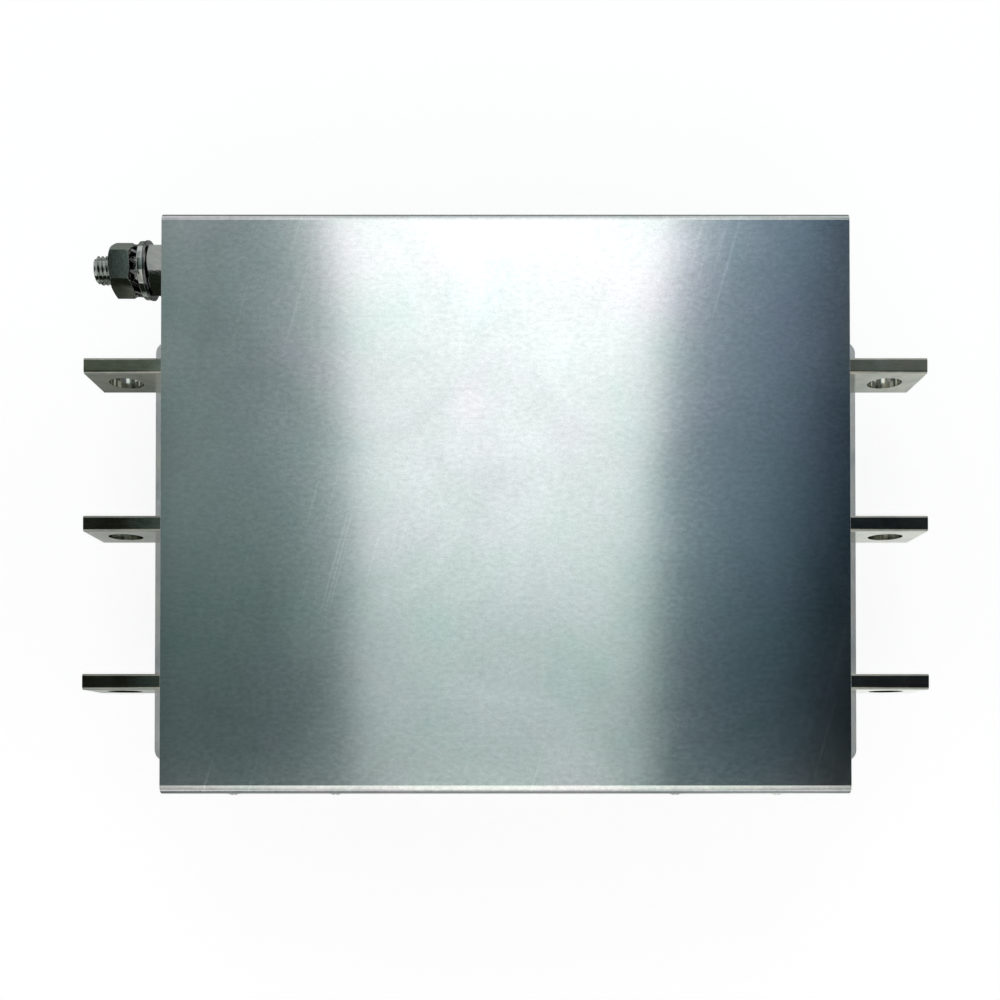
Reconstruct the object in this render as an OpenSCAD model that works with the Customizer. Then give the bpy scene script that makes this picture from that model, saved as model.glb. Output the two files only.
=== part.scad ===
// Three-phase line filter in a folded sheet-metal case.
// Three flat busbars run straight through the case and through a row of wound ring cores,
// and an earth stud stands on the line end.
// Frame: +X points to the load end, +Z up, origin at the centre of the mounting face.

/* [Case] */
// Length of the cover, along the busbars
case_l = 240; // [210:1:320]
// Height from the mounting face to the top of the cover
case_h = 100; // [88:1:130]
// Thickness of the cover and end panel sheet
sheet_t = 1.5; // [1:0.1:1.8]
// Inside radius of each fold
fold_r = 1.5; // [0.8:0.1:2]
// How far the end panels stand back from the cover's cut edges
panel_inset = 0.5; // [0.2:0.1:2]
// Play between the cover and what it slides over
cover_gap = 0.25; // [0.1:0.05:0.3]
// Height of the cover's lower edges above the mounting face
cover_lift = 0.5; // [0.2:0.1:2]
// Width of the end panels' flanges
flange_w = 15; // [13:0.5:18]

/* [Base] */
// How far each mounting foot stands out of the cover
foot_reach = 30; // [22:0.5:50]
// How far the feet stand back from the base's sides
foot_step = 9.75; // [4:0.25:12]
// Corner radius of the feet
foot_corner_r = 5; // [2:0.5:10]
// Thickness of the base sheet
base_t = 2; // [1.5:0.1:3]
// Gap between the base's upturned sides and the end panels' flanges
base_side_gap = 6.5; // [1:0.5:20]
// Height of the base's upturned sides
base_side_h = 28; // [26:1:34]
// Diameter of the mounting holes
mount_hole_d = 9; // [6:0.5:11]
// Distance from a foot's end to its mounting holes
mount_hole_inset_x = 10; // [8:0.5:14]
// Distance from a foot's side to its mounting holes
mount_hole_inset_y = 15; // [10:0.5:25]

/* [Busbars] */
// How far each busbar stands out of the cover
bar_reach = 40; // [30:0.5:80]
// Height of a busbar's section
bar_h = 25; // [22:0.5:28]
// Thickness of a busbar's section
bar_t = 6; // [5.5:0.1:8]
// Distance between neighbouring busbars
bar_pitch = 60; // [52:0.5:80]
// Radius on the busbars' long edges
bar_edge_r = 1; // [0.3:0.1:2]
// Diameter of the terminal holes
terminal_d = 13; // [8.5:0.5:15]
// Distance from a busbar's end to its terminal hole
terminal_inset = 12.5; // [10:0.5:20]

/* [Terminal windows] */
// Room between the outer busbars and the side of the window
window_side = 9; // [6:0.5:10]
// Room between the busbars and the window's upper and lower edge
window_rise = 4.5; // [3:0.5:6]
// Corner radius of the window
window_r = 4; // [2:0.5:6]
// Thickness of the terminal insulator behind the panel
insulator_t = 3; // [2:0.5:4]
// Overlap of the insulator beyond the window's sides
insulator_side = 7; // [5:0.5:8]
// Overlap of the insulator beyond the window's upper and lower edge
insulator_rise = 10.5; // [9:0.5:12]
// Play of a busbar in its slot
slot_gap = 0.2; // [0.1:0.05:0.3]
// Distance from the outer busbars to the outer insulator screws
insulator_screw_out = 6; // [2:0.5:9]

/* [Choke] */
// Room between the busbars and the carrier's upper and lower face
carrier_rise = 4; // [3:0.5:5]
// Room between the outer busbars and the carrier's sides
carrier_side = 7; // [5:0.5:9]
// Corner radius of the carrier
carrier_r = 12; // [8:0.5:14]
// Wall between the carrier's cells
carrier_wall = 3; // [2:0.5:4]
// Play of the core trays on the carrier
carrier_gap = 0.25; // [0.1:0.05:0.3]
// Wall of the core trays and lids
tray_wall = 1.5; // [1:0.1:2]
// Play of a core in its tray
core_gap = 0.3; // [0.1:0.05:0.4]
// Radial build of the wound tape
core_build = 14; // [10:0.5:15]
// Width of the wound tape
core_w = 24; // [16:0.5:25]
// Space between neighbouring core trays
core_space = 3; // [2:0.5:4]
// Plate thickness of the cradle under the cores
cradle_t = 3; // [2:0.5:4]
// How far the cradle stays clear of the trays' round corners
cradle_side = 2; // [0:0.5:8]
// Thickness of the cradle's ribs
cradle_rib_t = 4; // [3:0.5:6]
// Height of the cradle's fins beside the cores
cradle_fin_h = 6; // [4:0.5:8]
// Width of a core clamp
clamp_w = 24; // [18:0.5:28]
// Play between a core clamp and the core trays
clamp_gap = 0.2; // [0.2:0.05:0.3]
// Inside radius of a core clamp's upper folds
clamp_fold_r = 0.6; // [0.2:0.1:0.6]
// Length of a core clamp's feet
clamp_foot = 12; // [11:0.5:14]

/* [Capacitor boards] */
// Thickness of the boards
board_t = 1.6; // [1:0.1:2.4]
// Distance from the terminal insulator to a board
board_end_gap = 2; // [1:0.5:4]
// Distance from the core clamps to a board
board_core_gap = 6; // [3:0.5:8]
// Room between a board and the case's sides
board_side_gap = 4.5; // [4:0.5:6]
// Diameter of the posts
post_d = 6; // [5:0.5:7]
// Distance from a board's outer edge to the outer posts
post_inset_end = 9; // [6:0.5:10]
// Length of a phase capacitor
x_cap_l = 40; // [30:0.5:44]
// Distance from a board's inner edge to the inner phase capacitors
x_cap_edge = 2; // [1:0.5:4]
// Space between the two rows of phase capacitors
x_cap_row_gap = 8; // [4:0.5:10]
// Distance from a board's outer edge to the outer phase capacitor
x_cap_end = 15; // [13:0.5:18]
// Room between the phase capacitors and the cover
x_cap_room = 4.3; // [1:0.1:8]
// Radius on the capacitors' upright edges
cap_edge_r = 1; // [0.5:0.1:2]
// Length of an earth capacitor
y_cap_l = 18; // [13:0.5:20]
// Thickness of an earth capacitor
y_cap_w = 8; // [6:0.5:9]
// Height of an earth capacitor
y_cap_h = 15; // [11:0.5:20]
// Length of a discharge resistor's body
resistor_l = 14; // [9:0.5:16]
// Diameter of a discharge resistor's body
resistor_d = 5; // [3:0.5:6]
// Space between the outer phase capacitor and the first small component
small_start = 10; // [5:0.5:12]
// Space between neighbouring small components
small_space = 5; // [2:0.5:6]
// Diameter of the component leads
lead_d = 1; // [0.6:0.1:1.2]
// How far the leads reach below the board
lead_tail = 2; // [1:0.5:3]

/* [Earth stud] */
// Thread diameter of the earth stud
stud_d = 10; // [8:0.5:10]
// Pitch of the stud's thread
thread_pitch = 1.5; // [1:0.25:1.5]
// Distance from the cover's top down to the stud's axis
stud_drop = 15.5; // [15:0.1:18]
// Room between the bolt's head and the end panel's side flange
head_side = 2.75; // [0.5:0.05:4]
// Room between the bolt's head and the bracket's foot
head_room = 0.5; // [0.3:0.1:3]
// Size across flats of the earth nuts and the bolt's head
nut_af = 17; // [15:0.5:17]
// Thickness of the earth nuts
nut_h = 8; // [6:0.5:9]
// Thickness of the bolt's head
bolt_head_h = 6.4; // [5:0.1:8]
// Length of thread beyond the outer nut
stud_free = 6.4; // [3:0.1:15]
// Turn of the jam nut about the stud
jam_turn = -20; // [-30:1:30]
// Turn of the outer nut about the stud
nut_turn = 24; // [-30:1:30]
// Diameter of the thin washer on the jam nut
thin_washer_d = 20.5; // [18:0.5:21]
// Thickness of the thin washer
thin_washer_t = 1; // [0.5:0.1:1.5]
// Diameter of the thick washer
washer_d = 20; // [18:0.5:21]
// Thickness of the thick washer
washer_t = 2; // [1.5:0.1:2.5]
// Diameter of the toothed lock washer
lock_d = 18; // [17:0.5:20]
// Thickness of the lock washer's sheet
lock_t = 1; // [0.8:0.1:1.2]
// Number of teeth on the lock washer
lock_teeth = 14; // [10:1:16]
// Length of a tooth
lock_tooth_l = 2; // [1.5:0.1:2.4]
// Width of a tooth
lock_tooth_w = 2.6; // [2:0.1:2.8]
// Twist of a tooth out of the washer's plane
lock_twist = 56; // [30:1:62]
// Width of the earth bracket
bracket_w = 14; // [13:0.5:15]
// Thickness of the earth bracket
bracket_t = 1; // [0.8:0.1:1.5]
// Length of the earth bracket's foot
bracket_foot = 17; // [15:0.5:18]
// Space between the earth bracket and the terminal insulator
bracket_gap = 1; // [0.5:0.1:4]
// Inside radius of the bracket's fold
bracket_fold_r = 0.5; // [0.2:0.1:1]

/* [Small fasteners] */
// Thread diameter of the cover and insulator screws
screw_d = 4; // [3:0.5:4]
// Head diameter of these screws
screw_head_d = 8; // [6:0.5:8.5]
// Head height of these screws
screw_head_h = 2.4; // [1.5:0.1:2.8]
// Thread length of the cover screws
screw_l = 7; // [5:0.5:8]
// Height of the cover screws
cover_screw_z = 20; // [18:0.5:22]
// Distance from the base's upturned sides' ends to their cover screws
cover_screw_inset = 28; // [6:1:40]
// Thread diameter of the clamp screws
clamp_screw_d = 5; // [4:0.5:5]
// Thread diameter of the board screws
board_screw_d = 3; // [2:0.5:3]
// Diameter of the rivets
rivet_d = 4; // [3:0.5:5]
// Distance from the feet's sides to the outer rivets
rivet_inset = 18; // [8:0.5:25]
// Play of a fastener in its clearance hole, on the diameter
hole_gap = 0.5; // [0.2:0.1:0.6]
// Play of a thread in its nut, on the diameter
thread_gap = 0.1; // [0.05:0.05:0.2]

/* [Hidden] */

$fn = 64;
cut = 1;            // how far a cutter reaches past the faces it opens
line_end = -1;      // sign of X at the line end
load_end = 1;       // sign of X at the load end
both = [-1, 1];

// The case's width is the sum of what lies side by side behind the line end panel
bars_half_w = bar_pitch + bar_t / 2;
insulator_half_w = bars_half_w + window_side + insulator_side;
stud_y = insulator_half_w + bracket_gap + bracket_w / 2;
case_w = 2 * (stud_y + nut_af / 2 + head_side + 2 * sheet_t + cover_gap);

// Folded sheets
fold_out = fold_r + sheet_t;
inner_w = case_w - 2 * (sheet_t + cover_gap);
panel_top = case_h - sheet_t - cover_gap;
panel_x = case_l / 2 - panel_inset;
panel_back = panel_x - sheet_t;
panel_relief = fold_out + 0.5;
panel_flange_x = panel_x - flange_w / 2;
foot_l = case_l + 2 * foot_reach;
foot_w = inner_w - 2 * foot_step;
base_side_l = 2 * (panel_x - flange_w - base_side_gap);
cover_screw_x = base_side_l / 2 - cover_screw_inset;

// Busbars and their windows
bar_l = case_l + 2 * bar_reach;
bar_offsets = [-bar_pitch, 0, bar_pitch];
bar_z = case_h / 2;
bar_top = bar_z + bar_h / 2;
window_w = 2 * (bars_half_w + window_side);
window_h = bar_h + 2 * window_rise;
insulator_w = 2 * insulator_half_w;
insulator_h = window_h + 2 * insulator_rise;
insulator_back = panel_back - insulator_t;
insulator_screw_y = [-bars_half_w - insulator_screw_out, 0, bars_half_w + insulator_screw_out];
insulator_screw_z = window_h / 2 + insulator_rise / 2;

// Choke: each ring grows outwards from the carrier
carrier_w = 2 * (bars_half_w + carrier_side);
carrier_h = bar_h + 2 * carrier_rise;
tray_in_grow = carrier_gap;
core_in_grow = tray_in_grow + tray_wall + core_gap;
core_out_grow = core_in_grow + core_build;
tray_out_grow = core_out_grow + core_gap + tray_wall;
tray_l = tray_wall + core_w + core_gap;
core_stack_l = tray_l + tray_wall;
core_step = core_stack_l + core_space;
stack_half = core_step + core_stack_l / 2;
cradle_w = carrier_w - 2 * (carrier_r + cradle_side);
cores_bottom = bar_z - carrier_h / 2 - tray_out_grow;
cores_top = bar_z + carrier_h / 2 + tray_out_grow;
clamp_inner = stack_half + clamp_gap;
clamp_outer = clamp_inner + sheet_t;
clamp_top = cores_top + clamp_gap + sheet_t;
clamp_y = bar_pitch / 2;
clamp_screw_x = clamp_outer + fold_r + clamp_foot / 2;

// Boards lie just below the earth bolt's head, on posts from the busbars' upper edges
stud_z = case_h - stud_drop;
head_corner = round(100 * nut_af / 2 / cos(30)) / 100;
board_top = stud_z - head_corner - head_room - bracket_t;
board_z = board_top - board_t;
post_h = board_z - bar_top;
board_in = clamp_outer + board_core_gap;
board_out = insulator_back - board_end_gap;
board_l = board_out - board_in;
board_w = inner_w - 2 * board_side_gap;
x_cap_w = (board_l - x_cap_edge - x_cap_row_gap - x_cap_end) / 2;
x_cap_h = case_h - sheet_t - x_cap_room - board_top;
x_cap_inner_x = board_in + x_cap_edge + x_cap_w / 2;
x_cap_outer_x = board_out - x_cap_end - x_cap_w / 2;
post_x = [x_cap_inner_x, board_out - post_inset_end];
post_pin_l = 6;
x_cap_places = [[x_cap_inner_x, -bar_pitch / 2], [x_cap_inner_x, bar_pitch / 2], [x_cap_outer_x, 0]];
x_lead_span = x_cap_l - 6;
small_x = x_cap_outer_x;
small_y = x_cap_l / 2 + small_start + y_cap_w / 2;
small_pitch = y_cap_w + small_space;
y_lead_span = y_cap_l - 4;
resistor_span = resistor_l + 4;

// Earth stud and its stack of washers and nuts, from the panel outwards
bracket_x = panel_back - bracket_t;
jam_x = panel_x + nut_h;
thin_x = jam_x + thin_washer_t;
thick_x = thin_x + washer_t;
lock_h = round(100 * (lock_tooth_w * sin(lock_twist) + lock_t * cos(lock_twist))) / 100;
lock_x = thick_x + lock_h;
nut_x = lock_x + nut_h;
stud_end_x = nut_x + stud_free;
flank_d = stud_d - 0.65 * thread_pitch;     // diameter at which bolt and nut threads meet
thread_runout = 0.2;
washer_bore = stud_d + hole_gap;
lock_body_d = lock_d - 2 * lock_tooth_l;
bracket_rivet_x = board_out - bracket_foot / 2 + bracket_t + 1;

// Screw and rivet seats
rivet_y = [for (y = [-1, -1 / 3, 1 / 3, 1]) y * (foot_w / 2 - rivet_inset)];
rivet_head_d = rivet_d * 1.75;
rivet_head_h = rivet_d * 0.35;
rivet_recess = 0.2;
recess_w = screw_d * 0.22;

// ---------------------------------------------------------------- shared shapes

// Rectangle with round corners, centred
module rounded_rect(w, h, r) {
    square([w - 2 * r, h], center = true);
    square([w, h - 2 * r], center = true);
    for (x = both, y = both)
        translate([x * (w / 2 - r), y * (h / 2 - r)])
            circle(r);
}

// Rectangle that stands on the X axis, with its two upper corners round
module arch(w, h, r) {
    translate([-w / 2, 0])
        square([w, h - r]);
    translate([-w / 2 + r, 0])
        square([w - 2 * r, h]);
    for (x = both)
        translate([x * (w / 2 - r), h - r])
            circle(r);
}

// Section of a sheet folded to a U that opens downwards
module u_section(w, h, t, r = fold_r) {
    difference() {
        arch(w, h, r + t);
        translate([0, -cut])
            arch(w - 2 * t, h - t + cut, r);
    }
}

// Quarter of a fold: joins a wall that goes up to a foot that goes towards +X
module quarter_fold(t, r) {
    intersection() {
        difference() {
            circle(r + t);
            circle(r);
        }
        translate([-r - t, -r - t])
            square(r + t);
    }
}

// Section of an angle: wall on the Y axis, foot on the X axis
module angle_section(wall, foot, t, r = fold_r) {
    translate([0, r + t])
        square([t, wall - r - t]);
    translate([r + t, 0])
        square([foot - r - t, t]);
    translate([r + t, r + t])
        quarter_fold(t, r);
}

// Extrusion along X of a section drawn in Y and Z
module along_x(l) {
    rotate([90, 0, 90])
        linear_extrude(l, center = true)
            children();
}

// Extrusion along Y of a section drawn in X and Z
module along_y(l) {
    rotate([90, 0, 0])
        linear_extrude(l, center = true)
            children();
}

module at_end(side) {
    mirror([side < 0 ? 1 : 0, 0, 0])
        children();
}

// Pan-head screw: seat at z = 0, head above, thread below
module pan_screw(d, head_d, head_h, l) {
    dome_r = (pow(head_d / 2, 2) + pow(head_h, 2)) / (2 * head_h);
    translate([0, 0, -l])
        cylinder(d = d, h = l + head_h / 4);
    difference() {
        intersection() {
            cylinder(d = head_d, h = head_h);
            translate([0, 0, head_h - dome_r * 1.15])
                sphere(dome_r * 1.15);
        }
        for (turn = [0, 90])
            rotate(turn)
                translate([-head_d / 4, -recess_w / 2, head_h / 2])
                    cube([head_d / 2, recess_w, head_h]);
    }
}

// Rivet: seat at z = 0, domed head above, shank below
module rivet(d, l) {
    translate([0, 0, -l])
        cylinder(d = d, h = l + rivet_head_h / 4);
    intersection() {
        cylinder(d = rivet_head_d, h = rivet_head_h);
        translate([0, 0, rivet_head_h - rivet_head_d])
            sphere(rivet_head_d);
    }
}

// Hexagon whose corners are turned off to a cone on the chosen faces, axis on Z
module hex_body(af, h, low = true) {
    face_r = af * 0.475;
    env_r = af / 2 / cos(30) + 1;
    rise = (env_r - face_r) * tan(30);
    intersection() {
        cylinder(r = env_r - 1, h = h, $fn = 6);
        rotate_extrude()
            polygon([
                [0, 0],
                [low ? face_r : env_r, 0],
                [env_r, low ? rise : 0],
                [env_r, h - rise],
                [face_r, h],
                [0, h],
            ]);
    }
}

module hex_nut(af, h, bore) {
    difference() {
        hex_body(af, h);
        translate([0, 0, -cut])
            cylinder(d = bore, h = h + 2 * cut);
    }
}

module washer(od, bore, h) {
    difference() {
        cylinder(d = od, h = h);
        translate([0, 0, -cut])
            cylinder(d = bore, h = h + 2 * cut);
    }
}

// Puts a piece that is drawn along +Z on the stud's axis, x from the middle of the case
module on_stud(x, turn = 0) {
    translate([-x, stud_y, stud_z])
        rotate([0, 90, 0])
            rotate(180 - turn)
                children();
}

// ---------------------------------------------------------------- case

// Seats of the cover screws on one side of the case: [x, z]
cover_screw_seats = [for (s = both, x = [cover_screw_x, panel_flange_x]) [s * x, cover_screw_z]];

module cover_screw_bores(d) {
    for (seat = cover_screw_seats)
        translate([seat[0], 0, seat[1]])
            rotate([90, 0, 0])
                cylinder(d = d, h = case_w + 2 * cut, center = true);
}

module top_cover() {
    color([0.72, 0.73, 0.74])
        difference() {
            translate([0, 0, cover_lift])
                along_x(case_l)
                    u_section(case_w, case_h - cover_lift, sheet_t);
            cover_screw_bores(screw_d + hole_gap);
        }
}

module base_plate() {
    color([0.62, 0.63, 0.65])
        difference() {
            union() {
                linear_extrude(base_t)
                    rounded_rect(foot_l, foot_w, foot_corner_r);
                along_x(base_side_l)
                    translate([0, base_side_h])
                        mirror([0, 1])
                            u_section(inner_w, base_side_h, base_t);
            }
            for (x = both, y = both)
                translate([
                    x * (foot_l / 2 - mount_hole_inset_x),
                    y * (foot_w / 2 - mount_hole_inset_y),
                    -cut,
                ])
                    cylinder(d = mount_hole_d, h = base_t + 2 * cut);
            cover_screw_bores(screw_d + thread_gap);
            rivet_bores(rivet_d + thread_gap);
            clamp_screw_bores(clamp_screw_d + thread_gap, base_t);
        }
}

module rivet_seats() {
    for (x = both, y = rivet_y)
        translate([x * panel_flange_x, y, 0])
            children();
}

module rivet_bores(d) {
    rivet_seats()
        translate([0, 0, -cut])
            cylinder(d = d, h = base_t + sheet_t + 2 * cut);
}

// Seats of the insulator screws on one end panel, drawn on the load end
module insulator_screw_seats(x) {
    for (y = insulator_screw_y, z = both)
        translate([x, y, bar_z + z * insulator_screw_z])
            rotate([0, 90, 0])
                children();
}

module end_panel(side) {
    panel_h = panel_top - base_t;
    color([0.7, 0.71, 0.72])
        difference() {
            at_end(side)
                difference() {
                    union() {
                        // plate with the side flanges
                        translate([panel_x, 0, base_t + panel_relief])
                            rotate([0, 0, -90])
                                linear_extrude(panel_h - 2 * panel_relief)
                                    translate([0, -flange_w])
                                        u_section(inner_w, flange_w, sheet_t);
                        // plate with the upper and lower flange
                        translate([panel_x - flange_w, 0, base_t + panel_h / 2])
                            along_y(inner_w - 2 * panel_relief)
                                rotate(-90)
                                    u_section(panel_h, flange_w, sheet_t);
                    }
                    translate([panel_x, 0, bar_z])
                        along_x(4 * sheet_t)
                            rounded_rect(window_w, window_h, window_r);
                    insulator_screw_seats(panel_back - cut)
                        cylinder(d = screw_d + hole_gap, h = sheet_t + 2 * cut);
                }
            if (side == line_end)
                on_stud(panel_x + cut)
                    cylinder(d = washer_bore, h = sheet_t + 2 * cut);
            cover_screw_bores(screw_d + thread_gap);
            rivet_bores(rivet_d + thread_gap);
        }
}

module insulator(side) {
    play = 2 * cover_gap;
    color([0.16, 0.16, 0.17])
        at_end(side)
            difference() {
                union() {
                    translate([insulator_back + insulator_t / 2, 0, bar_z])
                        along_x(insulator_t)
                            rounded_rect(insulator_w, insulator_h, window_r);
                    translate([panel_x - (sheet_t + insulator_t) / 2, 0, bar_z])
                        along_x(sheet_t + insulator_t)
                            rounded_rect(window_w - play, window_h - play, window_r - cover_gap);
                }
                for (y = bar_offsets)
                    translate([panel_x - insulator_t / 2, y, bar_z])
                        along_x(2 * (sheet_t + insulator_t))
                            bar_section(slot_gap);
                insulator_screw_seats(insulator_back - cut)
                    cylinder(d = screw_d + thread_gap, h = insulator_t + 2 * cut);
            }
}

module insulator_screws() {
    color([0.75, 0.75, 0.76])
        for (side = both)
            at_end(side)
                insulator_screw_seats(panel_x)
                    pan_screw(screw_d, screw_head_d, screw_head_h, sheet_t + insulator_t);
}

module cover_screws() {
    color([0.75, 0.75, 0.76])
        for (side = both, seat = cover_screw_seats)
            translate([seat[0], side * case_w / 2, seat[1]])
                rotate([-side * 90, 0, 0])
                    pan_screw(screw_d, screw_head_d, screw_head_h, screw_l);
}

module base_rivets() {
    color([0.7, 0.7, 0.71])
        rivet_seats()
            translate([0, 0, base_t + sheet_t])
                rivet(rivet_d, base_t + sheet_t - rivet_recess);
}

// ---------------------------------------------------------------- busbars

// Busbar section in Y and Z, grown by gap on each side
module bar_section(gap = 0) {
    rounded_rect(bar_t + 2 * gap, bar_h + 2 * gap, bar_edge_r + gap);
}

module busbar(place) {
    color([0.74, 0.74, 0.7])
        translate([0, bar_offsets[place], bar_z])
            difference() {
                along_x(bar_l)
                    bar_section();
                for (side = both) {
                    translate([side * (bar_l / 2 - terminal_inset), 0, 0])
                        rotate([90, 0, 0])
                            cylinder(d = terminal_d, h = bar_t + 2 * cut, center = true);
                    for (x = post_x)
                        translate([side * x, 0, bar_h / 2 - post_pin_l - cut])
                            cylinder(d = board_screw_d + thread_gap, h = post_pin_l + 2 * cut);
                }
            }
}

// ---------------------------------------------------------------- choke

// Moulded carrier in the cores' window, with a slot for each busbar
module bar_carrier() {
    cell_w = bar_pitch - bar_t - 2 * slot_gap - 2 * carrier_wall;
    color([0.85, 0.84, 0.78])
        translate([0, 0, bar_z])
            along_x(2 * stack_half)
                difference() {
                    rounded_rect(carrier_w, carrier_h, carrier_r);
                    for (y = bar_offsets)
                        translate([y, 0])
                            bar_section(slot_gap);
                    for (y = both)
                        translate([y * bar_pitch / 2, 0])
                            rounded_rect(cell_w, carrier_h - 2 * carrier_wall, carrier_wall);
                }
}

// Ring around the carrier, between two outlines grown from the carrier's
module core_ring(inner, outer) {
    difference() {
        rounded_rect(carrier_w + 2 * outer, carrier_h + 2 * outer, carrier_r + outer);
        rounded_rect(carrier_w + 2 * inner, carrier_h + 2 * inner, carrier_r + inner);
    }
}

// Start of a core's tray along X
function tray_x(place) = (place - 2) * core_step - core_stack_l / 2;

module choke_core(place) {
    color([0.45, 0.42, 0.4])
        translate([tray_x(place) + tray_wall + core_w / 2, 0, bar_z])
            along_x(core_w)
                core_ring(core_in_grow, core_out_grow);
}

module core_tray(place) {
    color([0.12, 0.13, 0.15])
        translate([tray_x(place), 0, bar_z])
            difference() {
                translate([tray_l / 2, 0, 0])
                    along_x(tray_l)
                        core_ring(tray_in_grow, tray_out_grow);
                translate([tray_wall + tray_l / 2, 0, 0])
                    along_x(tray_l)
                        core_ring(tray_in_grow + tray_wall, tray_out_grow - tray_wall);
            }
}

module core_lid(place) {
    color([0.16, 0.17, 0.19])
        translate([tray_x(place) + tray_l + tray_wall / 2, 0, bar_z])
            along_x(tray_wall)
                core_ring(tray_in_grow, tray_out_grow);
}

// Moulded cradle: plate on the base, ribs up to the cores, fins between the cores
module core_cradle() {
    rib_h = cores_bottom - base_t;
    fin_t = core_space - 2 * clamp_gap;
    color([0.85, 0.84, 0.78])
        translate([0, 0, base_t]) {
            translate([-stack_half, -cradle_w / 2, 0])
                cube([2 * stack_half, cradle_w, cradle_t]);
            for (y = [-1, -1 / 3, 1 / 3, 1])
                translate([0, y * (cradle_w - cradle_rib_t) / 2, rib_h / 2])
                    cube([2 * stack_half, cradle_rib_t, rib_h], center = true);
            for (x = both)
                translate([x * core_step / 2 - fin_t / 2, -cradle_w / 2, 0])
                    cube([fin_t, cradle_w, rib_h + cradle_fin_h]);
        }
}

module clamp_screw_seats() {
    for (x = both, y = both)
        translate([x * clamp_screw_x, y * clamp_y, base_t])
            children();
}

module clamp_screw_bores(d, h) {
    clamp_screw_seats()
        translate([0, 0, -h - cut])
            cylinder(d = d, h = h + sheet_t + 2 * cut);
}

// Folded strap over the cores, with both legs between the busbars
module core_clamp(side) {
    leg_h = clamp_top - base_t;
    color([0.68, 0.69, 0.7])
        difference() {
            translate([0, side * clamp_y, base_t])
                along_y(clamp_w) {
                    difference() {
                        u_section(2 * clamp_outer, leg_h, sheet_t, clamp_fold_r);
                        translate([-clamp_outer - cut, -cut])
                            square([2 * (clamp_outer + cut), fold_out + cut]);
                    }
                    for (x = both)
                        mirror([x < 0 ? 1 : 0, 0])
                            translate([clamp_inner, 0])
                                angle_section(fold_out + cut, fold_out + clamp_foot, sheet_t);
                }
            clamp_screw_bores(clamp_screw_d + hole_gap, 0);
        }
}

module clamp_screws() {
    thread_l = base_t + sheet_t - rivet_recess;
    color([0.75, 0.75, 0.76])
        clamp_screw_seats()
            translate([0, 0, sheet_t])
                pan_screw(clamp_screw_d, clamp_screw_d * 1.9, clamp_screw_d * 0.6, thread_l);
}

// ---------------------------------------------------------------- capacitor boards

module post_seats(z) {
    for (x = post_x, y = bar_offsets)
        translate([x, y, z])
            children();
}

// Two leads through the board, span apart along Y
module lead_pair(span, d) {
    for (y = both)
        translate([0, y * span / 2, -board_t - lead_tail])
            cylinder(d = d, h = board_t + lead_tail + cut, $fn = 24);
}

// Places of the small components: the leads lie along X
module small_seat(place) {
    translate([small_x, small_y + place * small_pitch, board_top])
        rotate(90)
            children();
}

module capacitor_board(side) {
    small_span = side == line_end ? y_lead_span : resistor_span;
    color([0.16, 0.36, 0.22])
        at_end(side)
            difference() {
                translate([board_in, -board_w / 2, board_z])
                    cube([board_l, board_w, board_t]);
                post_seats(board_z - cut)
                    cylinder(d = board_screw_d + hole_gap, h = board_t + 2 * cut);
                for (place = x_cap_places)
                    translate([place[0], place[1], board_top])
                        lead_pair(x_lead_span, lead_d + hole_gap / 2);
                for (place = [0, 1, 2])
                    small_seat(place)
                        lead_pair(small_span, lead_d + hole_gap / 2);
                if (side == line_end)
                    translate([bracket_rivet_x, stud_y, board_z - cut])
                        cylinder(d = rivet_d + thread_gap, h = board_t + 2 * cut);
            }
}

// Moulded film capacitor that stands on its leads, long side along Y
module box_capacitor(l, w, h, span) {
    linear_extrude(h)
        rounded_rect(w, l, cap_edge_r);
    lead_pair(span, lead_d);
}

module x_capacitor(side, place) {
    color([0.86, 0.78, 0.5])
        at_end(side)
            translate([x_cap_places[place][0], x_cap_places[place][1], board_top])
                box_capacitor(x_cap_l, x_cap_w, x_cap_h, x_lead_span);
}

module y_capacitor(place) {
    color([0.3, 0.45, 0.7])
        at_end(line_end)
            small_seat(place)
                box_capacitor(y_cap_l, y_cap_w, y_cap_h, y_lead_span);
}

module discharge_resistor(place) {
    axis_z = resistor_d / 2;
    color([0.6, 0.72, 0.78])
        at_end(load_end)
            small_seat(place) {
                translate([0, 0, axis_z])
                    rotate([90, 0, 0]) {
                        cylinder(d = resistor_d, h = resistor_l, center = true);
                        cylinder(d = lead_d, h = resistor_span, center = true, $fn = 24);
                    }
                for (y = both)
                    translate([0, y * resistor_span / 2, -board_t - lead_tail])
                        cylinder(d = lead_d, h = board_t + lead_tail + axis_z + lead_d / 2, $fn = 24);
            }
}

module board_posts() {
    color([0.8, 0.68, 0.35])
        for (side = both)
            at_end(side)
                post_seats(bar_top)
                    difference() {
                        union() {
                            cylinder(d = post_d, h = post_h);
                            translate([0, 0, -post_pin_l])
                                cylinder(d = board_screw_d, h = post_pin_l);
                        }
                        translate([0, 0, post_h / 3])
                            cylinder(d = board_screw_d + thread_gap, h = post_h);
                    }
}

module board_screws() {
    thread_l = board_t + post_h / 2;
    color([0.75, 0.75, 0.76])
        for (side = both)
            at_end(side)
                post_seats(board_top)
                    pan_screw(board_screw_d, board_screw_d * 1.9, board_screw_d * 0.6, thread_l);
}

// ---------------------------------------------------------------- earth stud

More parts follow.
